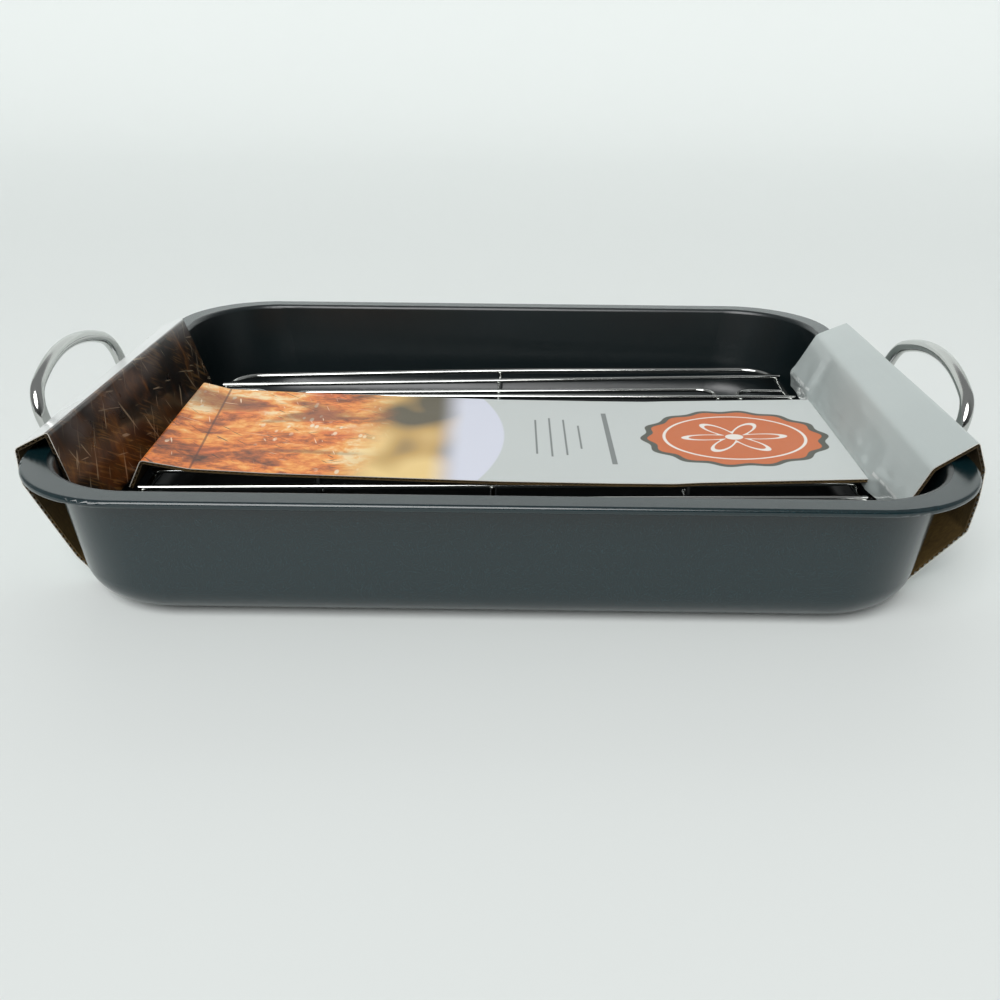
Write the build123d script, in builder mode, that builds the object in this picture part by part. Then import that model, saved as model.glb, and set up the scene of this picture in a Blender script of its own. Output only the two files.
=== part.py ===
from build123d import *
import math
import os

# Roasting pan with a lift-out wire rack, two folding bail handles and the corrugated card
# sleeve that holds the rack for sale. Millimetres, +X along the pan, +Y to the back, +Z up.
# The origin is under the middle of the object, on the surface that it stands on.

# Pan, a pressed sheet shell with a flat flange and a rolled rim
pan_length = 370.0
pan_width = 290.0
pan_height = 55.0
rim_corner = 50.0
flange_width = 10.0
wall_corner = 43.0
end_taper = 7.3
side_taper = 2.4
base_corner = 44.0
bottom_radius = 14.0
sheet = 0.9
bead_height = 3.0
bead_width = 3.0
bead_round = 1.4
flange_round = 2.2

# Card sleeve, corrugated board folded round the pan
board = 1.8
fold_round = 2.2
crease_round = 0.5
soft_round = 12.0
sag_round = 400.0
sleeve_y = -11.0
flap_width = 179.0
strip_width = 106.0
card_clear = 0.3
strip_left_inset = 3.0
strip_left_rise = 9.0
strip_crease_inset = 21.0
strip_crease_rise = 5.3
strip_low_inset = 119.0
strip_right_reach = 0.6
strip_right_rise = 3.7
valley_reach = 2.0
valley_rise = 1.8
left_crease_inset = 3.5
left_crease_rise = 7.2
left_ridge_reach = 2.0
left_ridge_rise = 3.2
right_crease_inset = 6.8
right_crease_drop = 0.2
right_ridge_reach = 1.8
right_ridge_rise = 8.9
panel_reach = 4.3
panel_bend_drop = 4.8
panel_low_reach = 2.8
panel_low_rise = 27.2
shoulder_inset = 0.2
shoulder_drop = 4.3
tear_drop = 10.1
band_flat_inset = 4.3
slot_margin = 1.5
overrun = 6.0

# Bail handles of round rod
rod = 6.0
handle_span = 92.8
handle_pivot_reach = 14.0
handle_pivot_drop = 16.8
handle_lean = 15.4
handle_reach = 31.6
handle_leg = 10.4
handle_bend = 6.0
handle_corner = 15.0
pin_length = 12.8

# Handle brackets, riveted to the end walls
strap = 2.0
strap_width = 11.0
strap_drop = 18.0
strap_bend = 3.0
eye_wall = 2.2
eye_clear = 0.05
eye_end_gap = 0.8
rivet = 3.0
rivet_head = 6.0
rivet_head_height = 1.0
rivet_low = 4.0
rivet_high = 11.0

# Rack, a welded wire grid on two bent foot wires
rack_x = 1.5
rack_y = 8.0
rack_end_gap = 26.0
rack_side_gap = 40.0
rack_height = 23.3
ring_wire = 3.0
grid_wire = 2.4
weld_bite = 0.15
ring_corner = 16.0
ring_bow = 1500.0
loop_corner = 9.0
inner_loop_inset = 41.0
end_loop_depth = 28.5
loop_end_gap = 0.1
foot_inset = 30.0
foot_spread = 76.0
foot_y = 12.0
foot_toe = 10.0
foot_bend = 4.0
floor_clear = 0.3
cross_wire_overhang = 4.0

# Corners of the ring, as shares of half the rack's length and width, from its middle
ring_shares = (
    (-0.985, 0.85),
    (0.0, 1.01),
    (1.0, 1.076),
    (0.985, -0.915),
    (0.0, -1.03),
    (-0.985, -0.99),
)
# Where each long wire crosses the left and right ends, as shares of half the rack's width
long_wire_shares = (
    (0.63, 0.886),
    (0.457, 0.533),
    (0.314, 0.371),
    (0.162, 0.2),
    (0.0, 0.029),
    (-0.162, -0.143),
    (-0.324, -0.314),
    (-0.524, -0.438),
    (-0.70, -0.567),
    (-0.83, -0.717),
)
# Front and back ends of the cross wire, as shares of half the rack's length
cross_wire_shares = (-0.031, -0.016)
# Back and front sides of the inner loop at its left and right ends
inner_loop_shares = ((0.585, 0.714), (-0.457, -0.40))
# Back and front legs of the left and right end loops
end_loop_shares = ((0.61, -0.38), (0.70, -0.34))

# Sizes that follow from the ones above
wall_length = pan_length - 2 * flange_width
wall_width = pan_width - 2 * flange_width
base_length = wall_length - 2 * end_taper
base_width = wall_width - 2 * side_taper
rim_z = board + pan_height
handle_pivot_x = pan_length / 2 + handle_pivot_reach
handle_pivot_height = rim_z - handle_pivot_drop
strap_foot = handle_pivot_height - strap_drop
rack_length = pan_length - 2 * rack_end_gap
rack_width = pan_width - 2 * rack_side_gap
inner_loop_length = rack_length - 2 * inner_loop_inset
foot_spacing = inner_loop_length - 2 * foot_inset
floor_z = board + sheet
long_wire_z = floor_z + rack_height
ring_z = long_wire_z - (ring_wire + grid_wire) / 2 + weld_bite
cross_z = ring_z - ring_wire + weld_bite
strip_z = long_wire_z + grid_wire / 2 + card_clear + board
bracket_y = handle_span / 2 - handle_bend - eye_end_gap - strap_width / 2

os.makedirs("parts", exist_ok=True)


def finish(piece, name):
    piece.part.label = name
    export_step(piece.part, "parts/" + name + ".step")


def wall_x(height):
    """Outside of the end wall at a height above the ground."""
    slope = (wall_length - base_length) / 2 / pan_height
    return base_length / 2 + slope * (height - board)


def pan_form(inset):
    """The pan's tapered body with a rounded bottom edge, drawn in all round by an inset."""
    with BuildPart() as form:
        with BuildSketch(Plane.XY.offset(board + inset)):
            RectangleRounded(base_length - 2 * inset, base_width - 2 * inset, base_corner - inset)
        with BuildSketch(Plane.XY.offset(rim_z)):
            RectangleRounded(wall_length - 2 * inset, wall_width - 2 * inset, wall_corner - inset)
        loft(ruled=True)
        fillet(form.faces().sort_by(Axis.Z)[0].edges(), radius=bottom_radius - inset)
    return form.part


# Pan
with BuildPart() as pan:
    add(pan_form(0))
    add(pan_form(sheet), mode=Mode.SUBTRACT)
    with BuildSketch(Plane.XY.offset(rim_z)):
        RectangleRounded(pan_length - bead_width, pan_width - bead_width, rim_corner - bead_width / 2)
        RectangleRounded(
            wall_length - 2 * sheet, wall_width - 2 * sheet, wall_corner - sheet, mode=Mode.SUBTRACT
        )
    extrude(amount=-sheet)
    flange_top = pan.faces().sort_by(Axis.Z)[-1]
    fillet(flange_top.inner_wires()[0].edges(), radius=flange_round)
    with BuildPart(mode=Mode.PRIVATE) as bead:
        with BuildSketch(Plane.XY.offset(rim_z)):
            RectangleRounded(pan_length, pan_width, rim_corner)
            RectangleRounded(
                pan_length - 2 * bead_width,
                pan_width - 2 * bead_width,
                rim_corner - bead_width,
                mode=Mode.SUBTRACT,
            )
        extrude(amount=-bead_height)
        bead_faces = bead.faces().sort_by(Axis.Z)
        outer_edges = bead_faces[-1].outer_wire().edges() + bead_faces[0].outer_wire().edges()
        fillet(outer_edges, radius=bead_round)
    add(bead.part)
    for end in (-1, 1):
        for side in (-1, 1):
            for rise in (rivet_low, rivet_high):
                height = strap_foot + rise
                hole_x = end * (wall_x(height) - overrun)
                hole_plane = Plane(origin=(hole_x, side * bracket_y, height), z_dir=(end, 0, 0))
                with BuildSketch(hole_plane):
                    Circle(rivet / 2)
                extrude(amount=2 * overrun, mode=Mode.SUBTRACT)
finish(pan, "pan")


# Handle brackets
def bracket_part(end, side):
    """A bent strap on the end wall, with a rolled eye for the handle's end."""
    middle = side * bracket_y
    section = Plane(origin=(0, middle - strap_width / 2, 0), x_dir=(end, 0, 0), z_dir=(0, -end, 0))
    away = -end * strap_width
    eye_radius = rod / 2 + eye_clear + eye_wall
    arm_top = handle_pivot_height + strap / 2
    with BuildPart() as bracket:
        with BuildSketch(section):
            with BuildLine():
                FilletPolyline(
                    (wall_x(strap_foot), strap_foot),
                    (wall_x(arm_top), arm_top),
                    (handle_pivot_x, arm_top),
                    radius=strap_bend + strap,
                )
                offset(amount=strap, side=Side.RIGHT)
            make_face()
            with Locations((handle_pivot_x, handle_pivot_height)):
                Circle(eye_radius)
                Circle(rod / 2 + eye_clear, mode=Mode.SUBTRACT)
        extrude(amount=away)
        for rise in (rivet_low, rivet_high):
            height = strap_foot + rise
            start = end * (wall_x(height) - overrun)
            with BuildSketch(Plane(origin=(start, middle, height), z_dir=(end, 0, 0))):
                Circle(rivet / 2)
            extrude(amount=2 * overrun, mode=Mode.SUBTRACT)
    return bracket


for end, end_name in ((-1, "left"), (1, "right")):
    for side, side_name in ((-1, "front"), (1, "rear")):
        finish(bracket_part(end, side), "bracket_" + end_name + "_" + side_name)

# Rivets, each a shank with a low head inside the pan and one outside the strap
with BuildPart() as bracket_rivets:
    for end in (-1, 1):
        for side in (-1, 1):
            for rise in (rivet_low, rivet_high):
                height = strap_foot + rise
                slope = (wall_x(rim_z) - wall_x(board)) / pan_height
                lean = slope * (rivet_head / 2 + sheet)
                inside = wall_x(height) - sheet - lean
                outside = wall_x(height) + strap + lean
                origin = (end * inside, side * bracket_y, height)
                far_origin = (end * outside, side * bracket_y, height)
                with BuildSketch(Plane(origin=origin, z_dir=(end, 0, 0))):
                    Circle(rivet / 2)
                extrude(amount=outside - inside)
                with BuildSketch(Plane(origin=origin, z_dir=(-end, 0, 0))):
                    Circle(rivet_head / 2)
                extrude(amount=rivet_head_height)
                with BuildSketch(Plane(origin=far_origin, z_dir=(end, 0, 0))):
                    Circle(rivet_head / 2)
                extrude(amount=rivet_head_height)
finish(bracket_rivets, "bracket_rivets")


# Handles
def handle_part(end):
    """A bail of round rod: two turned-in pins, two legs and a flat arch of three arcs."""
    lean = math.radians(handle_lean)
    bail_plane = Plane(
        origin=(end * handle_pivot_x, 0, handle_pivot_height),
        x_dir=(0, 1, 0),
        z_dir=(math.cos(lean), 0, -end * math.sin(lean)),
    )
    half = handle_span / 2
    rise = handle_reach - handle_leg
    flat = half - handle_corner
    crown = (flat**2 + rise**2 - handle_corner**2) / (2 * (rise - handle_corner))
    turn = math.atan2(flat, crown - rise)
    pin_end = half - handle_bend - pin_length
    joint_u = flat + handle_corner * math.sin(turn)
    joint_v = handle_leg + handle_corner * math.cos(turn)
    corner_u = flat + handle_corner * math.cos((math.pi / 2 - turn) / 2)
    corner_v = handle_leg + handle_corner * math.sin((math.pi / 2 - turn) / 2)
    bend_u = half - handle_bend + handle_bend * math.sin(math.pi / 4)
    bend_v = handle_bend - handle_bend * math.cos(math.pi / 4)
    with BuildPart() as handle:
        with BuildLine(bail_plane) as route:
            Line((-pin_end, 0), (-(half - handle_bend), 0))
            ThreePointArc((-(half - handle_bend), 0), (-bend_u, bend_v), (-half, handle_bend))
            Line((-half, handle_bend), (-half, handle_leg))
            ThreePointArc((-half, handle_leg), (-corner_u, corner_v), (-joint_u, joint_v))
            ThreePointArc((-joint_u, joint_v), (0, handle_reach), (joint_u, joint_v))
            ThreePointArc((joint_u, joint_v), (corner_u, corner_v), (half, handle_leg))
            Line((half, handle_leg), (half, handle_bend))
            ThreePointArc((half, handle_bend), (bend_u, bend_v), (half - handle_bend, 0))
            Line((half - handle_bend, 0), (pin_end, 0))
        with BuildSketch(Plane(origin=route.wire() @ 0, z_dir=route.wire() % 0)):
            Circle(rod / 2)
        sweep(path=route.wire())
    return handle


finish(handle_part(-1), "handle_left")
finish(handle_part(1), "handle_right")


# Rack
def rack_point(length_share, width_share, height):
    x = rack_x + length_share * rack_length / 2
    y = rack_y + width_share * rack_width / 2
    return (x, y, height)


def end_x(end, width_share):
    """Middle of the ring's end wire, left or right, at a share of the rack's half width."""
    back, front = (ring_shares[0], ring_shares[5]) if end < 0 else (ring_shares[2], ring_shares[3])
    part = (width_share - front[1]) / (back[1] - front[1])
    return rack_x + (front[0] + part * (back[0] - front[0])) * rack_length / 2


def bent_wire(points, radii, diameter, closed):
    """A round wire along straight runs with rounded corners."""
    with BuildPart() as bent:
        with BuildLine() as route:
            FilletPolyline(*points, radius=radii, close=closed)
        with BuildSketch(Plane(origin=route.wire() @ 0, z_dir=route.wire() % 0)):
            Circle(diameter / 2)
        sweep(path=route.wire())
    return bent


def straight_wire(start, stop, diameter):
    with BuildPart() as straight:
        with BuildLine() as route:
            Line(start, stop)
        with BuildSketch(Plane(origin=start, z_dir=route.line % 0)):
            Circle(diameter / 2)
        sweep(path=route.wire())
    return straight


ring_points = [rack_point(x_share, y_share, ring_z) for x_share, y_share in ring_shares]
ring_radii = [ring_corner, ring_bow, ring_corner, ring_corner, ring_bow, ring_corner]
finish(bent_wire(ring_points, ring_radii, ring_wire, True), "rack_ring")

for number, (left_share, right_share) in enumerate(long_wire_shares, start=1):
    left_y = rack_y + left_share * rack_width / 2
    right_y = rack_y + right_share * rack_width / 2
    long_wire = straight_wire(
        (end_x(-1, left_share) - ring_wire / 2, left_y, long_wire_z),
        (end_x(1, right_share) + ring_wire / 2, right_y, long_wire_z),
        grid_wire,
    )
    finish(long_wire, "rack_long_wire_" + str(number))

half_loop = inner_loop_length / 2
(back_left, back_right), (front_left, front_right) = inner_loop_shares
inner_points = [
    (rack_x - half_loop, rack_y + back_left * rack_width / 2, ring_z),
    (rack_x + half_loop, rack_y + back_right * rack_width / 2, ring_z),
    (rack_x + half_loop, rack_y + front_right * rack_width / 2, ring_z),
    (rack_x - half_loop, rack_y + front_left * rack_width / 2, ring_z),
]
finish(bent_wire(inner_points, [loop_corner] * 4, grid_wire, True), "rack_inner_loop")

for end, end_name, (back_leg, front_leg) in (
    (-1, "left", end_loop_shares[0]),
    (1, "right", end_loop_shares[1]),
):
    reach = ring_wire / 2 + loop_end_gap
    back_x = end_x(end, back_leg) - end * reach
    front_x = end_x(end, front_leg) - end * reach
    middle_x = rack_x + end * (rack_length / 2 - end_loop_depth)
    back_y = rack_y + back_leg * rack_width / 2
    front_y = rack_y + front_leg * rack_width / 2
    loop_points = [
        (back_x, back_y, ring_z),
        (middle_x, back_y, ring_z),
        (middle_x, front_y, ring_z),
        (front_x, front_y, ring_z),
    ]
    end_loop = bent_wire(loop_points, [loop_corner] * 2, grid_wire, False)
    finish(end_loop, "rack_end_loop_" + end_name)

toe_z = floor_z + floor_clear + ring_wire / 2
foot_top = long_wire_z - (ring_wire + grid_wire) / 2 + weld_bite
for end, end_name in ((-1, "left"), (1, "right")):
    foot_x = rack_x + end * foot_spacing / 2
    front_y = foot_y - foot_spread / 2
    back_y = foot_y + foot_spread / 2
    foot_points = [
        (foot_x, front_y + foot_toe, toe_z),
        (foot_x, front_y, toe_z),
        (foot_x, front_y, foot_top),
        (foot_x, back_y, foot_top),
        (foot_x, back_y, toe_z),
        (foot_x, back_y - foot_toe, toe_z),
    ]
    foot = bent_wire(foot_points, [foot_bend] * 4, ring_wire, False)
    finish(foot, "rack_foot_" + end_name)

cross_front = rack_point(cross_wire_shares[0], ring_shares[4][1], cross_z)
cross_back = rack_point(cross_wire_shares[1], ring_shares[1][1], cross_z)
cross_wire = straight_wire(
    (cross_front[0], cross_front[1] - cross_wire_overhang, cross_z),
    (cross_back[0], cross_back[1] + cross_wire_overhang, cross_z),
    ring_wire,
)
finish(cross_wire, "rack_cross_wire")

# Sleeve, drawn in a section plane across the pan
sleeve_plane = Plane(origin=(0, sleeve_y, 0), x_dir=(1, 0, 0), z_dir=(0, -1, 0))
rack_end = rack_length / 2
panel_x = pan_length / 2 + panel_reach
panel_bend_z = rim_z - panel_bend_drop
tear_z = rim_z - tear_drop
valley_z = long_wire_z - grid_wire / 2 - valley_rise + card_clear
left_panel = (
    (-panel_x, tear_z),
    (-panel_x, panel_bend_z),
    (-pan_length / 2 - left_ridge_reach, rim_z + left_ridge_rise),
    (-wall_length / 2 + left_crease_inset, rim_z + left_crease_rise),
    (-rack_end - valley_reach, valley_z),
)
strip = (
    (-rack_end + strip_left_inset, strip_z + strip_left_rise),
    (-rack_end + strip_crease_inset, strip_z + strip_crease_rise),
    (rack_end - strip_low_inset, strip_z),
    (rack_end + strip_right_reach, strip_z + strip_right_rise),
)
right_panel = (
    (wall_length / 2 - right_crease_inset, rim_z - right_crease_drop),
    (pan_length / 2 + right_ridge_reach, rim_z + right_ridge_rise),
    (panel_x, panel_bend_z),
    (panel_x, tear_z),
)
shoulder = (rack_end - shoulder_inset, strip_z + strip_right_rise - shoulder_drop)
flap_radii = (fold_round,) * 3
strip_radii = (crease_round, fold_round, soft_round, sag_round, crease_round)


def board_section(points, radii):
    """Section of the board: its outer face follows the points, its thickness lies inside."""
    with BuildSketch() as section:
        with BuildLine():
            FilletPolyline(*points, radius=radii)
            offset(amount=board, side=Side.RIGHT)
        make_face()
    return section.sketch


with BuildPart() as sleeve_top_card:
    with BuildSketch(sleeve_plane):
        add(board_section(left_panel + strip + right_panel, flap_radii + strip_radii + flap_radii))
    extrude(amount=strip_width / 2, both=True)
    for side in (-1, 1):
        flap_plane = sleeve_plane.offset(side * strip_width / 2)
        with BuildSketch(flap_plane):
            add(board_section(left_panel, flap_radii))
        extrude(amount=side * (flap_width - strip_width) / 2)
        with BuildSketch(flap_plane):
            add(board_section((shoulder,) + right_panel, flap_radii))
        extrude(amount=side * (flap_width - strip_width) / 2)
finish(sleeve_top_card, "sleeve_top_card")

panel_low_x = pan_length / 2 + panel_low_reach
band_flat_x = base_length / 2 - band_flat_inset
band_top = tear_z - card_clear
with BuildPart() as sleeve_base_band:
    with BuildSketch(sleeve_plane):
        with BuildLine():
            Polyline(
                (-panel_x, band_top),
                (-panel_x, handle_pivot_height),
                (-panel_low_x, panel_low_rise),
                (-band_flat_x, 0),
                (band_flat_x, 0),
                (panel_low_x, panel_low_rise),
                (panel_x, handle_pivot_height),
                (panel_x, band_top),
            )
            offset(amount=board, side=Side.LEFT, kind=Kind.INTERSECTION)
        make_face()
    extrude(amount=flap_width / 2, both=True)
    with BuildSketch(Plane.YZ.offset(-panel_x - overrun)):
        with Locations((-bracket_y, handle_pivot_height), (bracket_y, handle_pivot_height)):
            Rectangle(strap_width + 2 * slot_margin, strap + 2 * slot_margin)
    extrude(amount=2 * (panel_x + overrun), mode=Mode.SUBTRACT)
finish(sleeve_base_band, "sleeve_base_band")
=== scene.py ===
"""A roasting pan with a lift-out wire rack, two bail handles and the card sleeve it is sold in."""

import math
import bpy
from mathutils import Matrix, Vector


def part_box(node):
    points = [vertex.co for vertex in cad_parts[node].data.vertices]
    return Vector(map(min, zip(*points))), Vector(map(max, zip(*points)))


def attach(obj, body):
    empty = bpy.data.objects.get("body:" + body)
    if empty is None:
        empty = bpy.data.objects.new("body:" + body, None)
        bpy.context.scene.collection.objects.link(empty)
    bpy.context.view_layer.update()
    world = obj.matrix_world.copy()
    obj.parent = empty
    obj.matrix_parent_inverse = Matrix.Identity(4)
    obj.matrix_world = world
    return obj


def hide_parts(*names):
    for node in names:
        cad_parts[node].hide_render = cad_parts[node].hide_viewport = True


bl_info = {
    "name": "Roasting Pan with Rack",
    "version": (1, 0, 0),
    "blender": (4, 5, 0),
    "location": "View3D > Sidebar > Roasting Pan",
    "description": "Finishes a roasting pan, its rack and handles, and folds the card sleeve round it",
    "category": "Add Mesh",
}

import bmesh
import bpy
from bpy.props import FloatProperty, FloatVectorProperty, PointerProperty
from mathutils import Matrix, Vector, noise

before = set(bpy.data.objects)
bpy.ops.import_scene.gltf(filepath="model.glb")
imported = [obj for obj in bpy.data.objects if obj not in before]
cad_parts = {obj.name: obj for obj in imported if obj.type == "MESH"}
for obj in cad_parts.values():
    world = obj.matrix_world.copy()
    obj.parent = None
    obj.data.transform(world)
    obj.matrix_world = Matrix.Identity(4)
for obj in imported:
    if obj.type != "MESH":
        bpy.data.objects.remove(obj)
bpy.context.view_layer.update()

MM = 0.001
SENSOR = 36.0

# Places read from the frame
CARD_LOW, CARD_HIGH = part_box("sleeve_top_card")
BAND_LOW, BAND_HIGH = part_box("sleeve_base_band")
ARM_BOXES = [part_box("bracket_" + end) for end in ("left_front", "left_rear", "right_front", "right_rear")]

# Thickness of a handle strap and of the rod, and the room that a slot leaves round a strap
STRAP = 2.0 * MM
ROD = 6.0 * MM
SLOT_MARGIN = 1.5 * MM

# Meshes of the paper layers: the core's paper is a share of a face's, and a fold of its short side
GRID_COLUMN = 1.0 * MM
GRID_ROW = 3.0 * MM
WAVE_STEPS = 8
FOLD_STEPS = 5
CORE_SHARE = 0.6
FOLD_SHARE = 0.45

# Edges of the strip over the rack, and where the right ramp lies straight again beside it
STRIP_FRONT = -64.0 * MM
STRIP_REAR = 42.0 * MM
RAMP_FRONT = -72.0 * MM
RAMP_REAR = 49.0 * MM

# Handling marks on the ramps: they start at a height and reach full depth a little lower
DENTS_TOP = 52.0 * MM
DENTS_FADE = 15.0 * MM
DENTS_PER_METRE = 90.0
BUCKLES_TOP = 44.0 * MM
BUCKLES_FADE = 8.0 * MM
BUCKLES_PER_METRE = (60.0, 120.0, 160.0)

# Painted highlight line along the low fold of the right ramp, in millimetres above the floor
LOW_FOLD_Z = 36.8

# Print of the strip, in millimetres from the middle of the pan
PRINT_MIDDLE_Y = -11.0
PRINT_HALF_WIDTH = 53.0
# Place and slant of the painted shade along the strip's fold
CREASE_X = -134.0
CREASE_FRONT_Y = -64.0
CREASE_SLANT = 0.085
MEDALLION_X = 112.0
MEDALLION_NARROWING = 0.84
MEDALLION_RIM = 36.4
MEDALLION_DISC = 33.6
MEDALLION_RING = 28.0
SCALLOPS = 14.0
SCALLOP_DEPTH = 1.1
PETALS = 6.0
PETAL_DEPTH = 7.0
FLOWER_REACH = 14.0
FLOWER_LINE = 3.0
FLOWER_EYE = 3.4
RULES_Y = -10.0

# Place, half width and half length of each rule
RULES = ((17.0, 0.35, 22.0), (24.0, 0.35, 25.0), (31.0, 0.35, 23.0), (38.0, 0.35, 15.0), (52.0, 1.1, 33.0))

# Sections of the sleeve's outer face: each has its place along the pan's width, and then x and z of
# its corners in millimetres
LEFT_FLAP = (
    (CARD_LOW.y, ((-188.6, 46.6), (-188.6, 58.0), (-174.3, 65.2), (-164.2, 25.2))),
    (CARD_HIGH.y, ((-188.9, 46.6), (-188.3, 58.6), (-176.2, 62.9), (-163.8, 25.2))),
)
RIGHT_FLAP = (
    (CARD_LOW.y, ((162.4, 27.9), (160.3, 36.8), (168.3, 54.3), (184.3, 65.6), (189.0, 54.0),
                  (189.2, 46.6))),
    (RAMP_FRONT, ((159.9, 28.4), (160.2, 37.2), (168.9, 54.8), (185.0, 65.6), (189.0, 53.8),
                  (189.2, 46.6))),
    (STRIP_FRONT, ((158.3, 28.6), (158.9, 34.2), (169.0, 54.9), (185.2, 65.6), (189.0, 53.8),
                   (189.2, 46.6))),
    (STRIP_REAR, ((161.3, 28.8), (161.9, 33.4), (171.8, 56.8), (188.0, 65.0), (189.1, 52.6),
                  (189.2, 46.6))),
    (RAMP_REAR, ((161.4, 28.4), (161.5, 36.4), (172.0, 57.2), (188.2, 64.9), (189.1, 52.4),
                 (189.2, 46.6))),
    (CARD_HIGH.y, ((163.0, 28.0), (161.6, 36.2), (172.8, 57.8), (188.9, 64.7), (189.2, 52.0),
                   (189.2, 46.6))),
)
STRIP = (
    (STRIP_FRONT, ((-161.4, 25.6), (-154.9, 38.3), (-134.0, 34.6), (-100.0, 33.0), (-48.0, 31.7),
                   (0.0, 30.5), (50.0, 30.2), (76.0, 30.3), (86.0, 31.0), (158.6, 33.7))),
    (STRIP_REAR, ((-161.8, 25.6), (-157.6, 38.3), (-143.0, 34.6), (-100.0, 33.0), (-48.0, 31.7),
                  (0.0, 30.5), (50.0, 30.2), (76.0, 30.2), (86.0, 30.6), (161.8, 32.6))),
)
BASE_BAND = (
    (BAND_LOW.y, ((189.2, 46.5), (189.2, 40.5), (187.6, 27.0), (163.6, 0.0), (-163.6, 0.0),
                  (-172.4, 10.5), (-183.6, 33.0), (-188.5, 43.0), (-188.6, 46.5))),
    (BAND_HIGH.y, ((189.2, 46.5), (189.2, 40.5), (187.6, 27.0), (163.6, 0.0), (-163.6, 0.0),
                   (-172.6, 10.5), (-184.6, 33.0), (-188.8, 43.0), (-188.9, 46.5))),
)


def srgb(red, green, blue):
    """A colour as paint charts give it, 0 to 255, in the linear values that shaders take."""
    linear = []
    for part in (red, green, blue):
        share = part / 255
        linear.append(share / 12.92 if share <= 0.04045 else ((share + 0.055) / 1.055) ** 2.4)
    return (*linear, 1.0)


class PanFinish(bpy.types.PropertyGroup):
    """Colours and dullness of the pan's coat"""

    coat_colour: FloatVectorProperty(
        name="Coat", description="Colour of the non-stick coat", subtype="COLOR", size=4, min=0, max=1,
        default=srgb(9, 31, 35))
    fleck_colour: FloatVectorProperty(
        name="Flecks", description="Colour of the coat's fine flecks", subtype="COLOR", size=4, min=0,
        max=1, default=srgb(30, 60, 66))
    sheen: FloatProperty(
        name="Roughness", description="How dull the coat is", default=0.2, min=0, max=1)


class WireFinish(bpy.types.PropertyGroup):
    """Colours of the bare metal"""

    chrome_colour: FloatVectorProperty(
        name="Chrome", description="Colour of the plated wire and rod", subtype="COLOR", size=4, min=0,
        max=1, default=(0.56, 0.57, 0.55, 1.0))
    steel_colour: FloatVectorProperty(
        name="Steel", description="Colour of the straps and rivets", subtype="COLOR", size=4, min=0,
        max=1, default=(0.52, 0.53, 0.54, 1.0))


class CardSizes(bpy.types.PropertyGroup):
    """Sizes of the sleeve's board, its folds and its handling marks"""

    board: FloatProperty(
        name="Board", description="Thickness of the corrugated board", unit="LENGTH", subtype="DISTANCE",
        default=1.6 * MM, min=0.5 * MM)
    liner: FloatProperty(
        name="Liner", description="Thickness of each paper face", unit="LENGTH", subtype="DISTANCE",
        default=0.28 * MM, min=0.05 * MM)
    flute_pitch: FloatProperty(
        name="Flute pitch", description="Length of one wave of the board's core", unit="LENGTH",
        subtype="DISTANCE", default=2.4 * MM, min=0.5 * MM)
    fold: FloatProperty(
        name="Fold", description="How far each fold is rounded, along each side", unit="LENGTH",
        subtype="DISTANCE", default=1.4 * MM, min=0.1 * MM)
    crumple: FloatProperty(
        name="Crumple", description="Height of the handling dents in the printed face", unit="LENGTH",
        subtype="DISTANCE", default=0.22 * MM, min=0)
    buckle: FloatProperty(
        name="Buckle", description="Height of the buckles beside the lowest fold", unit="LENGTH",
        subtype="DISTANCE", default=0.7 * MM, min=0)


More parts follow.
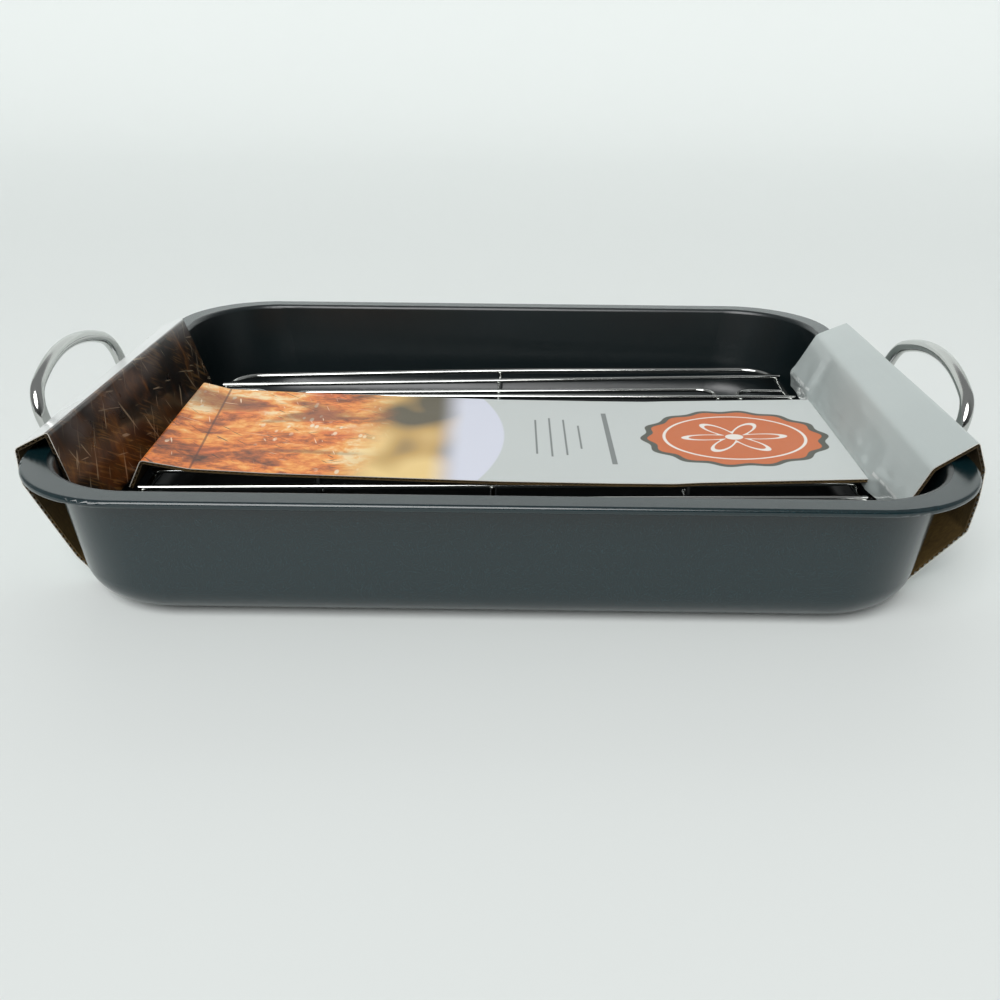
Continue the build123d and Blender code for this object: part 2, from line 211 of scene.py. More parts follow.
class StageSettings(bpy.types.PropertyGroup):
    """Camera, lights, room and floor"""

    camera_place: FloatVectorProperty(
        name="Camera", description="Place of the camera", subtype="TRANSLATION", size=3,
        default=(2.7 * MM, -454.9 * MM, 204.6 * MM))
    pitch: FloatProperty(
        name="Pitch", description="How far the camera looks down", subtype="ANGLE",
        default=0.438126)
    yaw: FloatProperty(name="Yaw", description="How far it looks right", subtype="ANGLE", default=-0.006335)
    roll: FloatProperty(name="Roll", description="How far it leans", subtype="ANGLE", default=0.009629)
    lens: FloatProperty(name="Lens", description="Focal length on a 36 mm sensor", default=35.597)
    key_power: FloatProperty(name="Key light", description="Power of the soft light in front", default=3.0)
    key_softness: FloatProperty(
        name="Key softness", description="How wide the key light looks from the pan", subtype="ANGLE",
        default=math.radians(46))
    key_place: FloatVectorProperty(
        name="Key place", description="Where the key light stands, seen from the pan", subtype="XYZ", size=3,
        default=(-0.3, -0.95, 1.0))
    rear_power: FloatProperty(name="Rear light", description="Power of the light behind the pan", default=7.0)
    rear_place: FloatVectorProperty(
        name="Rear place", description="Place of the rear light", subtype="TRANSLATION", size=3,
        default=(0.0, 2.5, 1.6))
    rear_width: FloatProperty(
        name="Rear width", description="Width of the rear light", unit="LENGTH", subtype="DISTANCE",
        default=4.6)
    rear_height: FloatProperty(
        name="Rear height", description="Height of the rear light", unit="LENGTH", subtype="DISTANCE",
        default=2.0)
    sky: FloatProperty(name="Sky", description="Strength of the light from all round", default=0.3)
    front_colour: FloatVectorProperty(
        name="Front", description="Colour of the room in front of the pan", subtype="COLOR", size=4, min=0,
        max=1, default=(0.08, 0.085, 0.085, 1.0))
    rear_colour: FloatVectorProperty(
        name="Rear", description="Colour of the room behind the pan", subtype="COLOR", size=4, min=0,
        max=1, default=(0.97, 0.99, 1.0, 1.0))
    rear_from: FloatProperty(
        name="Rear from", description="Where the rear colour starts, 0 in front and 1 behind",
        subtype="FACTOR", min=0, max=1, default=0.45)
    floor_size: FloatProperty(
        name="Floor", description="Length of the floor's sides", unit="LENGTH", subtype="DISTANCE",
        default=8.0)
    floor_drop: FloatProperty(
        name="Floor height", description="Height of the floor, a hair under the pan", unit="LENGTH",
        subtype="DISTANCE", default=-0.0002)
    wall_distance: FloatProperty(
        name="Wall", description="How far the wall stands behind the pan", unit="LENGTH",
        subtype="DISTANCE", default=3.0)
    wall_height: FloatProperty(
        name="Wall height", description="Height of the wall", unit="LENGTH", subtype="DISTANCE", default=3.0)
    wall_curve: FloatProperty(
        name="Wall curve", description="Reach of the curve between floor and wall", unit="LENGTH",
        subtype="DISTANCE", default=1.6)


class Value:
    """A socket of a material, which takes part in Python sums by adding Math nodes."""

    def __init__(self, paint, socket):
        self.paint = paint
        self.socket = socket

    def maths(self, operation, first, second):
        return self.paint.node("ShaderNodeMath", {"operation": operation}, {0: first, 1: second})

    def __add__(self, other):
        return self.maths("ADD", self, other)

    def __radd__(self, other):
        return self.maths("ADD", other, self)

    def __sub__(self, other):
        return self.maths("SUBTRACT", self, other)

    def __rsub__(self, other):
        return self.maths("SUBTRACT", other, self)

    def __mul__(self, other):
        return self.maths("MULTIPLY", self, other)

    def __rmul__(self, other):
        return self.maths("MULTIPLY", other, self)

    def __pow__(self, other):
        return self.maths("POWER", self, other)

    def __abs__(self):
        return self.maths("ABSOLUTE", self, 0.0)


class Paint:
    """One material, and the nodes that make it."""

    def __init__(self, name):
        self.material = bpy.data.materials.new(name)
        self.material.use_nodes = True
        self.tree = self.material.node_tree
        self.tree.nodes.clear()
        source = self.tree.nodes.new("ShaderNodeTexCoord")
        self.place = Value(self, source.outputs["Object"])
        self.normal = Value(self, source.outputs["Normal"])

    def node(self, kind, settings, sockets, output=0):
        """Adds a node: its settings first, then the values or links of its sockets."""
        made = self.tree.nodes.new(kind)
        for key, setting in settings.items():
            if key == "stops":
                ramp = made.color_ramp
                ramp.elements[0].position, ramp.elements[0].color = setting[0]
                ramp.elements[1].position, ramp.elements[1].color = setting[-1]
                for position, colour in setting[1:-1]:
                    ramp.elements.new(position).color = colour
            else:
                setattr(made, key, setting)
        for key, given in sockets.items():
            if isinstance(given, Value):
                self.tree.links.new(given.socket, made.inputs[key])
            else:
                made.inputs[key].default_value = given
        return Value(self, made.outputs[output])

    def axis(self, name):
        """X, Y or Z of the place on the object, in millimetres."""
        share = self.node("ShaderNodeSeparateXYZ", {}, {"Vector": self.place}, name)
        return share * 1000.0

    def facing(self, name):
        """X, Y or Z of the way that the surface faces."""
        return self.node("ShaderNodeSeparateXYZ", {}, {"Vector": self.normal}, name)

    def stretched(self, across, along, up):
        """The place on the object, with each axis scaled."""
        return self.node(
            "ShaderNodeVectorMath", {"operation": "MULTIPLY"}, {0: self.place, 1: (across, along, up)})

    def cloud(self, place, scale, detail=3.0, roughness=0.5, distortion=0.0):
        """Soft noise about 0.5."""
        sockets = {"Vector": place, "Scale": scale, "Detail": detail, "Roughness": roughness,
                   "Distortion": distortion}
        return self.node("ShaderNodeTexNoise", {}, sockets, "Fac")

    def step(self, value, low, high):
        """0 below low and 1 above high, with a smooth change between."""
        sockets = {"Value": value, "From Min": low, "From Max": high}
        return self.node("ShaderNodeMapRange", {"interpolation_type": "SMOOTHSTEP"}, sockets)

    def within(self, value, edge, soft=0.4):
        """1 below an edge, and 0 above."""
        return 1.0 - self.step(value, edge, edge + soft)

    def band(self, value, middle, half, soft):
        """1 within half of the middle, and 0 outside."""
        return self.within(abs(value - middle), half, soft)

    def mix(self, share, first, second):
        """The first colour, with a share of the second one."""
        settings = {"data_type": "RGBA", "clamp_factor": True}
        return self.node("ShaderNodeMix", settings, {0: share, 6: first, 7: second}, 2)

    def ramp(self, value, stops):
        """A colour for each value, from stops of value and colour."""
        return self.node("ShaderNodeValToRGB", {"stops": stops}, {"Fac": value}, "Color")

    def bump(self, height, strength, distance):
        """The surface's normal, tilted by a height."""
        sockets = {"Height": height, "Strength": strength, "Distance": distance}
        return self.node("ShaderNodeBump", {}, sockets, "Normal")

    def surface(self, **sockets):
        """Ends the material with a shader whose sockets are named in words joined by underscores."""
        named = {key.replace("_", " "): given for key, given in sockets.items()}
        shader = self.node("ShaderNodeBsdfPrincipled", {}, named, "BSDF")
        end = self.tree.nodes.new("ShaderNodeOutputMaterial")
        self.tree.links.new(shader.socket, end.inputs["Surface"])
        return self.material


def pan_coat(finish):
    """Satin non-stick coat: slate grey, finely flecked, duller inside the pan, with painted shade darkening
    it inside the pan and on its floor.
    """
    paint = Paint("pan_coat")
    flecks = paint.cloud(paint.place, 2600.0, 2.0, 0.7)
    drift = paint.cloud(paint.place, 14.0, 2.0)
    colour = paint.mix(paint.step(flecks, 0.56, 0.70), finish.coat_colour, finish.fleck_colour)
    outward = paint.axis("X") * paint.facing("X") + paint.axis("Y") * paint.facing("Y")
    inside = 1.0 - paint.step(outward, -30.0, -6.0)
    bottom = paint.step(paint.facing("Z"), 0.75, 0.95) * (1.0 - paint.step(paint.axis("Z"), 10.0, 20.0))
    # Painted shade: the coat is darkened inside the pan and on its floor
    colour = paint.mix(inside * 0.75 + bottom * 0.8, colour, srgb(2, 8, 10))
    peel = paint.cloud(paint.place, 420.0, 2.0, 0.5)
    return paint.surface(
        Base_Color=colour,
        Roughness=finish.sheen + (drift - 0.5) * 0.10 + (flecks - 0.5) * 0.08 + inside * 0.15 + bottom * 0.7,
        Normal=paint.bump(peel, 0.10, 0.0002),
        Specular_IOR_Level=0.72,
    )


def chrome(name, colour, streak):
    """Bright plate with faint drawing lines and a trace of haze."""
    paint = Paint(name)
    haze_and_painted_reflection = paint.cloud(paint.place, 60.0, 3.0)
    lines = paint.cloud(paint.stretched(*streak), 1.0, 2.0, 0.6)
    return paint.surface(
        Base_Color=paint.mix(haze_and_painted_reflection * 0.35, colour, (0.40, 0.41, 0.40, 1.0)),
        Metallic=1.0,
        Roughness=0.07 + haze_and_painted_reflection * 0.06 + lines * 0.05,
        Normal=paint.bump(lines, 0.05, 0.0001),
    )


def strap_steel(colour):
    """Zinc-plated strap, rolled along its length."""
    paint = Paint("strap_steel")
    lines = paint.cloud(paint.stretched(300.0, 4000.0, 300.0), 1.0, 3.0, 0.6)
    blotch = paint.cloud(paint.place, 180.0, 3.0)
    return paint.surface(
        Base_Color=paint.mix(blotch * 0.5, colour, (0.40, 0.41, 0.43, 1.0)),
        Metallic=1.0,
        Roughness=0.28 + blotch * 0.14 + lines * 0.06,
        Normal=paint.bump(lines, 0.10, 0.0001),
    )


def kraft_paper():
    """Brown unbleached paper with short fibres, with painted shade darkening it high up and at its cut edges.
    """
    paint = Paint("kraft_paper")
    fibres = paint.cloud(paint.stretched(500.0, 1700.0, 500.0), 1.0, 4.0, 0.65)
    blotch = paint.cloud(paint.place, 45.0, 3.0)
    tone = fibres * 0.6 + blotch * 0.4
    colour = paint.ramp(tone, [(0.30, srgb(60, 46, 20)), (0.5, srgb(100, 78, 34)),
                               (0.72, srgb(136, 110, 58))])
    # Painted shade: darker high up, and in the hollows of the flutes at the cut edges
    upper_shade = paint.step(paint.axis("Z"), 12.0, 44.0)
    cut_edge = paint.step(abs(paint.facing("Y")), 0.8, 0.95)
    colour = paint.mix(upper_shade * 0.5 + cut_edge * 0.35, colour, srgb(26, 20, 12))
    return paint.surface(
        Base_Color=colour,
        Roughness=0.85,
        Normal=paint.bump(fibres, 0.25, 0.0002),
    )


def laminate(paint, colour, dents, roughness, gloss):
    """Gloss film over print, pale at its cut edge: flutes and small dents show through it."""
    cut_edge = paint.step(abs(paint.facing("Y")), 0.8, 0.95)
    colour = paint.mix(cut_edge, colour, srgb(206, 202, 192))
    flutes = paint.cloud(paint.stretched(420.0, 12.0, 420.0), 1.0, 1.0, 0.3)
    return paint.surface(
        Base_Color=colour,
        Roughness=roughness + paint.cloud(paint.place, 30.0, 3.0) * 0.14,
        Specular_IOR_Level=0.3,
        Coat_Weight=gloss,
        Coat_Roughness=0.1,
        Normal=paint.bump(flutes * 0.4 + dents, 0.22, 0.0006),
    )


def grey_print():
    """Plain pale blue-grey print, with a broken painted highlight along the low fold of the right ramp."""
    paint = Paint("grey_print")
    drift = paint.cloud(paint.place, 22.0, 3.0)
    colour = paint.mix(drift * 0.5, srgb(181, 190, 188), srgb(165, 174, 173))
    x = paint.axis("X")
    inner = (1.0 - paint.step(x, 162.5, 163.5)) * paint.step(x, 150.0, 152.0)
    off_middle = abs(paint.axis("Y") - PRINT_MIDDLE_Y)
    beside = paint.step(off_middle, PRINT_HALF_WIDTH, PRINT_HALF_WIDTH + 1.0)
    # Painted highlight: a pale broken line where the low fold of the right ramp catches the light
    fold_highlight_band = paint.band(paint.axis("Z"), LOW_FOLD_Z, 0.3, 0.6) * inner * beside
    painted_fold_highlight = fold_highlight_band * paint.step(paint.cloud(paint.place, 240.0, 3.0), 0.34, 0.56)
    colour = paint.mix(painted_fold_highlight * 0.8, colour, srgb(226, 230, 228))
    return laminate(paint, colour, paint.cloud(paint.place, 70.0, 3.0, 0.6) * 0.6, 0.3, 0.5)


def strands(paint, axis, slant, length, width, coverage):
    """Fine straight fibres at a slant, on a face that an axis stands on: 1 on a fibre, 0 between."""
    turned = paint.node(
        "ShaderNodeVectorRotate", {"rotation_type": axis + "_AXIS"}, {"Vector": paint.place, "Angle": slant})
    scale = (9.0, 1.0 / length, 1.0 / width) if axis == "X" else (1.0 / length, 1.0 / width, 9.0)
    placed = paint.node("ShaderNodeVectorMath", {"operation": "MULTIPLY"}, {0: turned, 1: scale})
    grain = paint.cloud(placed, 1.0, 1.0, 0.4, 0.35)
    return paint.step(grain, coverage, coverage + 0.05)


def bark_print():
    """Print of the left ramp: near-black brown crossed by pale fibres, with a painted pale reflection high
    up, white past the ridge.
    """
    paint = Paint("bark_print")
    x = paint.axis("X")
    z = paint.axis("Z")
    ground = paint.cloud(paint.stretched(24.0, 60.0, 34.0), 1.0, 5.0, 0.62, 0.8)
    colour = paint.ramp(ground, [(0.36, srgb(9, 6, 5)), (0.48, srgb(28, 17, 9)),
                                 (0.58, srgb(70, 42, 16)), (0.70, srgb(128, 84, 34))])
    tufts = paint.step(paint.cloud(paint.place, 38.0, 2.0), 0.40, 0.62)
    fuzz = strands(paint, "X", 0.55, 0.014, 0.0009, 0.56) * tufts
    colour = paint.mix(fuzz * 0.38, colour, srgb(168, 126, 70))
    for slant, coverage in ((-0.9, 0.70), (0.25, 0.71), (1.15, 0.72)):
        fibres = strands(paint, "X", slant, 0.022, 0.0014, coverage)
        colour = paint.mix(fibres * 0.6, colour, srgb(196, 178, 150))
    # Painted reflection: a pale grey haze of sky light high on the ramp
    haze_and_painted_reflection = paint.band(z, 60.0, 2.0, 9.0) * paint.step(paint.cloud(paint.place, 34.0, 3.0), 0.34, 0.62)
    colour = paint.mix(haze_and_painted_reflection * 0.5, colour, srgb(126, 116, 112))
    side = paint.step(x, -176.6, -175.4)
    colour = paint.mix(side, srgb(222, 225, 224), colour)
    return laminate(paint, colour, paint.cloud(paint.place, 90.0, 3.0, 0.6) * 0.6, 0.22, 0.3)


def toasted_crust(paint):
    """Golden crust with blisters, seeds, shaded hollows and fine dark and pale strokes."""
    swirl = paint.cloud(paint.stretched(24.0, 38.0, 24.0), 1.0, 4.0, 0.6, 0.5)
    blister = paint.cloud(paint.stretched(120.0, 170.0, 120.0), 1.0, 6.0, 0.7, 0.4)
    crust = swirl * 0.62 + blister * 0.38
    colour = paint.ramp(crust, [(0.35, srgb(62, 36, 18)), (0.42, srgb(156, 78, 28)),
                                (0.48, srgb(226, 124, 44)), (0.54, srgb(244, 168, 80)),
                                (0.61, srgb(252, 226, 176))])
    blush = paint.step(paint.cloud(paint.place, 30.0, 3.0, 0.6), 0.50, 0.66)
    colour = paint.mix(blush * 0.45, colour, srgb(224, 112, 66))
    grain = paint.stretched(210.0, 90.0, 210.0)
    sockets = {"Vector": grain, "Scale": 1.0, "Randomness": 1.0}
    seed_gap = paint.node("ShaderNodeTexVoronoi", {}, sockets, "Distance")
    patch = paint.step(paint.cloud(paint.place, 26.0, 2.0), 0.48, 0.60)
    seeds = (1.0 - paint.step(seed_gap, 0.16, 0.26)) * patch
    colour = paint.mix(seeds * 0.8, colour, srgb(250, 236, 208))
    shade = paint.step(paint.cloud(paint.stretched(9.0, 30.0, 9.0), 1.0, 2.0, 0.5, 0.8), 0.54, 0.64)
    colour = paint.mix(shade * 0.6, colour, srgb(86, 66, 52))
    for slant, coverage, tint in ((0.7, 0.71, srgb(62, 46, 34)), (-0.35, 0.72, srgb(70, 54, 40)),
                                  (1.25, 0.73, srgb(252, 232, 204)), (0.2, 0.73, srgb(250, 226, 190))):
        stroke = strands(paint, "Z", slant, 0.016, 0.0013, coverage)
        colour = paint.mix(stroke * 0.8, colour, tint)
    return colour


def faded_out(paint, x, y, colour):
    """The crust runs into a blurred ochre, then white, then plain grey past a curved edge."""
    wander = paint.cloud(paint.place, 18.0, 2.0) * 24.0
    soft = paint.cloud(paint.stretched(26.0, 18.0, 26.0), 1.0, 1.0)
    blur = paint.ramp(soft, [(0.36, srgb(86, 78, 56)), (0.48, srgb(196, 158, 88)),
                             (0.60, srgb(236, 204, 134))])
    colour = paint.mix(paint.step(x + wander, -66.0, -40.0), colour, blur)
    colour = paint.mix(paint.step(x + wander * 0.3, -30.0, -14.0), colour, srgb(212, 215, 228))
    off_middle = y - PRINT_MIDDLE_Y
    edge = x + off_middle * off_middle * 0.004
    return paint.mix(paint.step(edge, 1.0, 2.2), colour, srgb(194, 200, 198))


def ruled(paint, x, y, colour):
    """Plain rules across the strip."""
    for place, half, length in RULES:
        rule = paint.band(x, place, half, 0.25) * paint.band(y, RULES_Y, length, 0.4)
        colour = paint.mix(rule * 0.75, colour, srgb(74, 80, 80))
    return colour


def medallion(paint, x, y, colour):
    """A scalloped disc with a ring and an outlined flower, foreshortened along the strip."""
    terracotta = srgb(198, 100, 40)
    cream = srgb(232, 226, 218)
    across = (x - MEDALLION_X) * MEDALLION_NARROWING
    along = y - PRINT_MIDDLE_Y
    reach = (across * across + along * along) ** 0.5
    turn = paint.node("ShaderNodeMath", {"operation": "ARCTAN2"}, {0: along, 1: across})
    scallop = paint.node("ShaderNodeMath", {"operation": "COSINE"}, {0: turn * SCALLOPS})
    rim = reach - scallop * SCALLOP_DEPTH
    colour = paint.mix(paint.within(rim, MEDALLION_RIM), colour, srgb(72, 74, 64))
    colour = paint.mix(paint.within(rim, MEDALLION_DISC), colour, terracotta)
    colour = paint.mix(paint.band(reach, MEDALLION_RING, 0.45, 0.3), colour, cream)
    petal = paint.node("ShaderNodeMath", {"operation": "COSINE"}, {0: turn * PETALS})
    flower = reach - FLOWER_REACH - petal * PETAL_DEPTH
    colour = paint.mix(paint.within(flower, 0.0, 0.5), colour, cream)
    colour = paint.mix(paint.within(flower + FLOWER_LINE, 0.0, 0.5), colour, terracotta)
    return paint.mix(paint.within(reach, FLOWER_EYE), colour, cream)


def strip_print():
    """Print of the strip: a toasted crust that fades to grey, rules and a medallion, and painted shade along
    the crease.
    """
    paint = Paint("strip_print")
    x = paint.axis("X")
    y = paint.axis("Y")
    colour = faded_out(paint, x, y, toasted_crust(paint))
    colour = medallion(paint, x, y, ruled(paint, x, y, colour))
    # Painted shade: a dark line along the strip's fold
    crease_shade = paint.band(x + (y - CREASE_FRONT_Y) * CREASE_SLANT, CREASE_X, 0.25, 0.5)
    colour = paint.mix(crease_shade * 0.7, colour, srgb(84, 40, 22))
    return laminate(paint, colour, paint.cloud(paint.place, 55.0, 2.0, 0.5) * 0.5, 0.3, 0.06)


def clear_selection():
    """Leaves edit mode and deselects everything."""
    if bpy.context.mode != "OBJECT":
        bpy.ops.object.mode_set(mode="OBJECT")
    bpy.ops.object.select_all(action="DESELECT")


def alone(piece):
    """Makes a piece the only selected and active one."""
    clear_selection()
    piece.select_set(True)
    bpy.context.view_layer.objects.active = piece


def apply_modifier(piece, kind, name, **settings):
    """Adds a modifier with its settings to a piece, and applies it."""
    alone(piece)
    modifier = piece.modifiers.new(name, kind)
    for key, setting in settings.items():
        setattr(modifier, key, setting)
    bpy.ops.object.modifier_apply(modifier=name)


def rounded(points, reach):
    """A section's corners, each rounded off over a reach along both of its sides."""
    smooth = [points[0]]
    for before, corner, after in zip(points, points[1:], points[2:]):
        back = before - corner
        ahead = after - corner
        start = corner + back.normalized() * min(reach, back.length * FOLD_SHARE)
        stop = corner + ahead.normalized() * min(reach, ahead.length * FOLD_SHARE)
        for number in range(FOLD_STEPS + 1):
            share = number / FOLD_STEPS
            smooth.append(start.lerp(corner, share).lerp(corner.lerp(stop, share), share))
    smooth.append(points[-1])
    return smooth


def evened(points, columns):
    """The same section with its points at equal steps, and how far along each one is."""
    lengths = [0.0]
    for first, second in zip(points, points[1:]):
        lengths.append(lengths[-1] + (second - first).length)
    even = []
    piece = 0
    for column in range(columns + 1):
        along = lengths[-1] * column / columns
        while piece < len(points) - 2 and lengths[piece + 1] < along:
            piece += 1
        share = (along - lengths[piece]) / max(lengths[piece + 1] - lengths[piece], 1e-9)
        even.append((points[piece].lerp(points[piece + 1], share), along))
    return even


def section_at(stations, y):
    """The section between two stations at a place along the pan's width."""
    for (near, near_points), (far, far_points) in zip(stations, stations[1:]):
        if y <= far + 1e-9:
            break
    share = min(max((y - near) / (far - near), 0.0), 1.0)
    pairs = zip(near_points, far_points)
    return [Vector(first).lerp(Vector(second), share) * MM for first, second in pairs]


def place_rows(stations, spacing):
    """Places along the width: each station, and even steps between stations."""
    rows = [stations[0][0]]
    for (near, _), (far, _) in zip(stations, stations[1:]):
        steps = max(1, round((far - near) / spacing)) if spacing else 1
        rows += [near + (far - near) * (number + 1) / steps for number in range(steps)]
    return rows


def folded_sheet(name, stations, column_size, row_size, fold, depth):
    """One paper layer of the sleeve: a grid laid along the sections, at a depth below the face."""
    rows = place_rows(stations, row_size)
    whole = rounded(section_at(stations, rows[0]), fold)
    length = sum((second - first).length for first, second in zip(whole, whole[1:]))
    columns = round(length / column_size)
    clear_selection()
    bpy.ops.mesh.primitive_grid_add(x_subdivisions=columns, y_subdivisions=len(rows) - 1, size=1)
    sheet = bpy.context.active_object
    sheet.name = name
    sheet.data.name = name
    by_row = []
    for y in rows:
        even = evened(rounded(section_at(stations, y), fold), columns)
        points = [point for point, along in even]
        placed = []
        for number, (point, along) in enumerate(even):
            before = points[max(number - 1, 0)]
            after = points[min(number + 1, columns)]
            run = (after - before).normalized()
            outward = Vector((-run.y, run.x))
            spot = point - outward * depth(point, y, along)
            placed.append((spot.x, y, spot.y))
        by_row.append(placed)
    for vertex in sheet.data.vertices:
        column = round((vertex.co.x + 0.5) * columns)
        row = round((vertex.co.y + 0.5) * (len(rows) - 1))
        vertex.co = by_row[row][column]
    sheet.data.update()
    return sheet


def cut_slots(sheet):
    """Cuts the slots that the handle straps come out through."""
    straps = {(low.y - SLOT_MARGIN, high.y + SLOT_MARGIN) for low, high in ARM_BOXES}
    middle_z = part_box("handle_left")[0].z + ROD / 2
    slot_low = middle_z - STRAP / 2 - SLOT_MARGIN
    slot_high = middle_z + STRAP / 2 + SLOT_MARGIN
    alone(sheet)
    bpy.ops.object.mode_set(mode="EDIT")
    for z in (slot_low, slot_high):
        bpy.ops.mesh.select_all(action="SELECT")
        bpy.ops.mesh.bisect(plane_co=(0, 0, z), plane_no=(0, 0, 1))
    for y in sorted(side for strap in straps for side in strap):
        bpy.ops.mesh.select_all(action="SELECT")
        bpy.ops.mesh.bisect(plane_co=(0, y, 0), plane_no=(0, 1, 0))
    shape = bmesh.from_edit_mesh(sheet.data)
    for face in shape.faces:
        middle = face.calc_center_median()
        beside_strap = any(low < middle.y < high for low, high in straps)
        face.select = beside_strap and slot_low < middle.z < slot_high
    bmesh.update_edit_mesh(sheet.data)
    bpy.ops.mesh.delete(type="FACE")
    bpy.ops.object.mode_set(mode="OBJECT")


def finish_layer(sheet, thickness, material, body, node):
    """Gives a paper layer its thickness and material, hangs it on its body and hides the CAD node that it
    takes the place of.
    """
    apply_modifier(sheet, "SOLIDIFY", "Paper", thickness=thickness, offset=-1.0)
    sheet.data.materials.clear()
    sheet.data.materials.append(material)
    alone(sheet)
    bpy.ops.object.shade_smooth_by_angle(angle=math.radians(35))
    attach(sheet, body)
    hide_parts(node)


def corrugated(name, stations, sizes, face, body, slot, node, crumple=None, slots=False):
    """Printed face, fluted core and inner face of one run of the sleeve."""
    kraft = shared("kraft_paper", kraft_paper)
    wave_room = (sizes.board - 2 * sizes.liner) / 2
    core_paper = sizes.liner * CORE_SHARE
    swing = wave_room - core_paper / 2

    def face_depth(point, y, along):
        spot = Vector((point.x, y, point.y))
        return -crumple(spot) if crumple else 0.0

    def core_depth(point, y, along):
        wave = math.sin(along / sizes.flute_pitch * 2 * math.pi)
        return sizes.liner + wave_room - core_paper / 2 - swing * wave

    def inner_depth(point, y, along):
        return sizes.board - sizes.liner

    layers = (
        (name + "_face", GRID_COLUMN, GRID_ROW, face_depth, sizes.liner, face),
        (name + "_flutes", sizes.flute_pitch / WAVE_STEPS, None, core_depth, core_paper, kraft),
        (name + "_inner", GRID_COLUMN, None, inner_depth, sizes.liner, kraft),
    )
    for layer, column_size, row_size, depth, thickness, material in layers:
        sheet = folded_sheet(layer, stations, column_size, row_size, sizes.fold, depth)
        if slots:
            cut_slots(sheet)
        finish_layer(sheet, thickness, material, body, node)


def give(names, material):
    """Gives CAD nodes a material."""
    for name in names:
        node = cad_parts[name]
        node.data.materials.clear()
        node.data.materials.append(material)


def shared(name, make):
    """A material that several pieces use, made when the first of them asks for it."""
    return bpy.data.materials.get(name) or make()


class ROASTER_OT_pan(bpy.types.Operator):
    """Coat the pan"""

    bl_idname = "roaster.pan"
    bl_label = "Pan"

    def execute(self, context):
        give(["pan"], pan_coat(context.scene.roaster_pan))
        return {"FINISHED"}


class ROASTER_OT_handles(bpy.types.Operator):
    """Plate the handles and their straps"""

    bl_idname = "roaster.handles"
    bl_label = "Handles"

    def execute(self, context):
        finish = context.scene.roaster_wire
        give(["handle_left", "handle_right"], chrome("rod_chrome", finish.chrome_colour, (400, 60, 400)))
        straps = [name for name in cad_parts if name.startswith("bracket")]
        give(straps, strap_steel(finish.steel_colour))
        return {"FINISHED"}


class ROASTER_OT_rack(bpy.types.Operator):
    """Plate the rack"""

    bl_idname = "roaster.rack"
    bl_label = "Rack"

    def execute(self, context):
        plate = chrome("wire_chrome", context.scene.roaster_wire.chrome_colour, (60, 400, 400))
        give([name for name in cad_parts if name.startswith("rack")], plate)
        return {"FINISHED"}


class ROASTER_OT_top_card(bpy.types.Operator):
    """Fold the top card of the sleeve"""

    bl_idname = "roaster.top_card"
    bl_label = "Top card"

    def execute(self, context):
        sizes = context.scene.roaster_card

        def dents(spot):
            """Handling dents, most of them low on the ramp."""
            low = min(max((DENTS_TOP - spot.z) / DENTS_FADE, 0.0), 1.0)
            return sizes.crumple * (0.25 + low) * noise.noise(spot * DENTS_PER_METRE)

        def buckles(spot):
            """The dents, with sharper buckles beside the lowest fold."""
            low = min(max((BUCKLES_TOP - spot.z) / BUCKLES_FADE, 0.0), 1.0)
            place = Vector([along * scale for along, scale in zip(spot, BUCKLES_PER_METRE)])
            return dents(spot) + sizes.buckle * low * abs(noise.noise(place))

        common = {"sizes": sizes, "body": "top_card", "slot": "card_printed", "node": "sleeve_top_card"}
        corrugated("card_left_flap", LEFT_FLAP, face=bark_print(), crumple=dents, **common)
        corrugated("card_right_flap", RIGHT_FLAP, face=shared("grey_print", grey_print), crumple=buckles,
                   **common)
        corrugated("card_strip", STRIP, face=strip_print(), **common)
        return {"FINISHED"}


class ROASTER_OT_base_band(bpy.types.Operator):
    """Fold the base band of the sleeve"""

    bl_idname = "roaster.base_band"
    bl_label = "Base band"

    def execute(self, context):
        corrugated("card_band", BASE_BAND, context.scene.roaster_card, shared("grey_print", grey_print),
                   "pan", "card_kraft", "sleeve_base_band", slots=True)
        return {"FINISHED"}


def pale_floor():
    """Matt pale paper, with painted shade making it a little greyer far behind the pan."""
    paint = Paint("pale_floor")
    drift = paint.cloud(paint.place, 3.0, 2.0)
    colour = paint.mix(drift, srgb(229, 233, 231), srgb(235, 239, 237))
    # Painted shade: greyer far behind the pan, where less light falls
    far = paint.step(paint.axis("Y"), 300.0, 1800.0)
    colour = paint.mix(far, colour, srgb(214, 219, 217))
    return paint.surface(Base_Color=colour, Roughness=0.55, Specular_IOR_Level=0.3)


def backdrop(settings):
    """The floor, turned up into a wall far behind the pan by a wide curve."""
    clear_selection()
    middle = settings.wall_distance - settings.floor_size / 2
    bpy.ops.mesh.primitive_plane_add(size=settings.floor_size, location=(0, middle, settings.floor_drop))
    floor = bpy.context.active_object
    floor.name = "floor"
    bpy.ops.object.mode_set(mode="EDIT")
    bpy.ops.mesh.select_mode(type="EDGE")
    shape = bmesh.from_edit_mesh(floor.data)
    for edge in shape.edges:
        edge.select = all(vertex.co.y > 0 for vertex in edge.verts)
    shape.select_flush_mode()
    bmesh.update_edit_mesh(floor.data)
    bpy.ops.mesh.extrude_region_move(TRANSFORM_OT_translate={"value": (0, 0, settings.wall_height)})
    bpy.ops.object.mode_set(mode="OBJECT")
    apply_modifier(floor, "BEVEL", "Sweep", width=settings.wall_curve, segments=16, affect="EDGES",
                   limit_method="ANGLE")
    bpy.ops.object.shade_smooth()
    floor.data.materials.append(pale_floor())


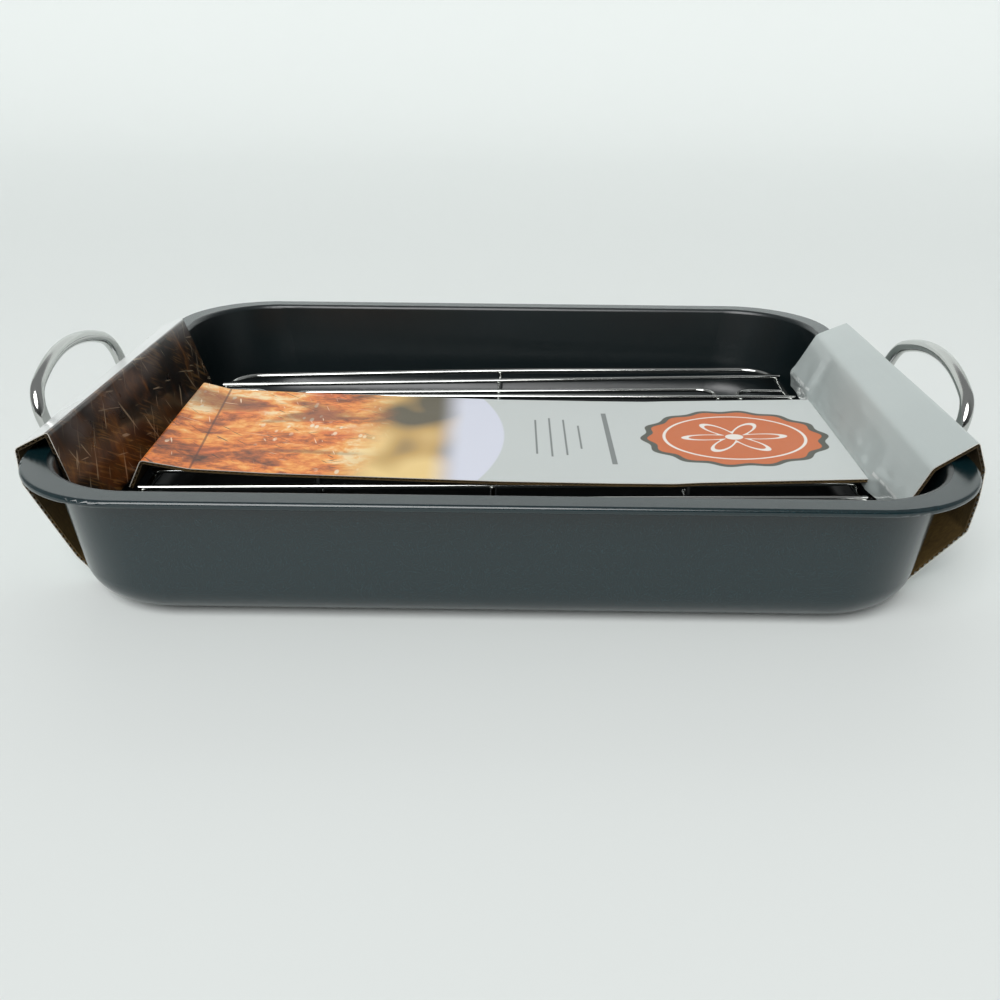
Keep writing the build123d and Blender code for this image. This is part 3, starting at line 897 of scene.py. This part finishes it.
def rear_light(settings):
    """A wide soft light behind the pan, turned towards it."""
    place = Vector(settings.rear_place)
    bpy.ops.object.light_add(type="AREA", location=place)
    light = bpy.context.active_object
    light.name = "rear_window"
    light.data.shape = "RECTANGLE"
    light.data.size = settings.rear_width
    light.data.size_y = settings.rear_height
    light.data.energy = settings.rear_power
    light.rotation_euler = (-place).to_track_quat("-Z", "Y").to_euler()


def ceiling_light(settings):
    """The soft key light, high in front of the pan."""
    bpy.ops.object.light_add(type="SUN", location=(0, 0, settings.wall_height))
    light = bpy.context.active_object
    light.name = "ceiling_light"
    light.data.energy = settings.key_power
    light.data.angle = settings.key_softness
    light.rotation_euler = Vector(settings.key_place).to_track_quat("Z", "Y").to_euler()


def room_light(settings):
    """Faint light from all round, dark in front of the pan and bright behind it."""
    world = bpy.data.worlds.new("room")
    bpy.context.scene.world = world
    world.use_nodes = True
    tree = world.node_tree
    background = tree.nodes["Background"]
    background.inputs["Strength"].default_value = settings.sky
    heading = tree.nodes.new("ShaderNodeTexCoord")
    parts = tree.nodes.new("ShaderNodeSeparateXYZ")
    share = tree.nodes.new("ShaderNodeMapRange")
    share.inputs["From Min"].default_value = -1.0
    walls = tree.nodes.new("ShaderNodeValToRGB")
    front, rear = walls.color_ramp.elements
    front.color = settings.front_colour
    rear.color = settings.rear_colour
    rear.position = settings.rear_from
    tree.links.new(heading.outputs["Generated"], parts.inputs["Vector"])
    tree.links.new(parts.outputs["Y"], share.inputs["Value"])
    tree.links.new(share.outputs["Result"], walls.inputs["Fac"])
    tree.links.new(walls.outputs["Color"], background.inputs["Color"])


def place_camera(settings):
    """The camera, turned by its pitch, yaw and roll."""
    forward = Vector((
        math.sin(settings.yaw) * math.cos(settings.pitch),
        math.cos(settings.yaw) * math.cos(settings.pitch),
        -math.sin(settings.pitch),
    ))
    level = Vector((math.cos(settings.yaw), -math.sin(settings.yaw), 0))
    upright = level.cross(forward)
    right = level * math.cos(settings.roll) + upright * math.sin(settings.roll)
    above = upright * math.cos(settings.roll) - level * math.sin(settings.roll)
    bpy.ops.object.camera_add(location=settings.camera_place)
    camera = bpy.context.active_object
    turned = Matrix((right, above, -forward)).transposed().to_4x4()
    camera.matrix_world = Matrix.Translation(settings.camera_place) @ turned
    camera.data.lens = settings.lens
    camera.data.sensor_width = SENSOR
    bpy.context.scene.camera = camera


class ROASTER_OT_stage(bpy.types.Operator):
    """Set the floor, the light and the camera"""

    bl_idname = "roaster.stage"
    bl_label = "Stage"

    def execute(self, context):
        settings = context.scene.roaster_stage
        backdrop(settings)
        rear_light(settings)
        ceiling_light(settings)
        room_light(settings)
        place_camera(settings)
        context.scene.view_settings.view_transform = "Standard"
        return {"FINISHED"}


class ROASTER_PT_panel(bpy.types.Panel):
    """Sizes, colours and steps of the roasting pan"""

    bl_idname = "ROASTER_PT_panel"
    bl_label = "Roasting Pan"
    bl_space_type = "VIEW_3D"
    bl_region_type = "UI"
    bl_category = "Roasting Pan"

    def draw(self, context):
        for group in ("roaster_pan", "roaster_wire", "roaster_card", "roaster_stage"):
            settings = getattr(context.scene, group)
            box = self.layout.box()
            for name in settings.__annotations__:
                box.prop(settings, name)
        for operator in OPERATORS:
            self.layout.operator(operator.bl_idname)


OPERATORS = (
    ROASTER_OT_pan,
    ROASTER_OT_handles,
    ROASTER_OT_rack,
    ROASTER_OT_top_card,
    ROASTER_OT_base_band,
    ROASTER_OT_stage,
)
GROUPS = (
    ("roaster_pan", PanFinish),
    ("roaster_wire", WireFinish),
    ("roaster_card", CardSizes),
    ("roaster_stage", StageSettings),
)


def register():
    """Adds the settings to the scene, and the steps and the panel to Blender."""
    for name, group in GROUPS:
        bpy.utils.register_class(group)
        setattr(bpy.types.Scene, name, PointerProperty(type=group))
    for operator in OPERATORS:
        bpy.utils.register_class(operator)
    bpy.utils.register_class(ROASTER_PT_panel)


def unregister():
    """Takes out what register adds."""
    bpy.utils.unregister_class(ROASTER_PT_panel)
    for operator in reversed(OPERATORS):
        bpy.utils.unregister_class(operator)
    for name, group in reversed(GROUPS):
        delattr(bpy.types.Scene, name)
        bpy.utils.unregister_class(group)


def main():
    """Runs the steps in order."""
    register()
    bpy.ops.roaster.pan()
    bpy.ops.roaster.handles()
    bpy.ops.roaster.rack()
    bpy.ops.roaster.top_card()
    bpy.ops.roaster.base_band()
    bpy.ops.roaster.stage()


if __name__ == "__main__":
    main()
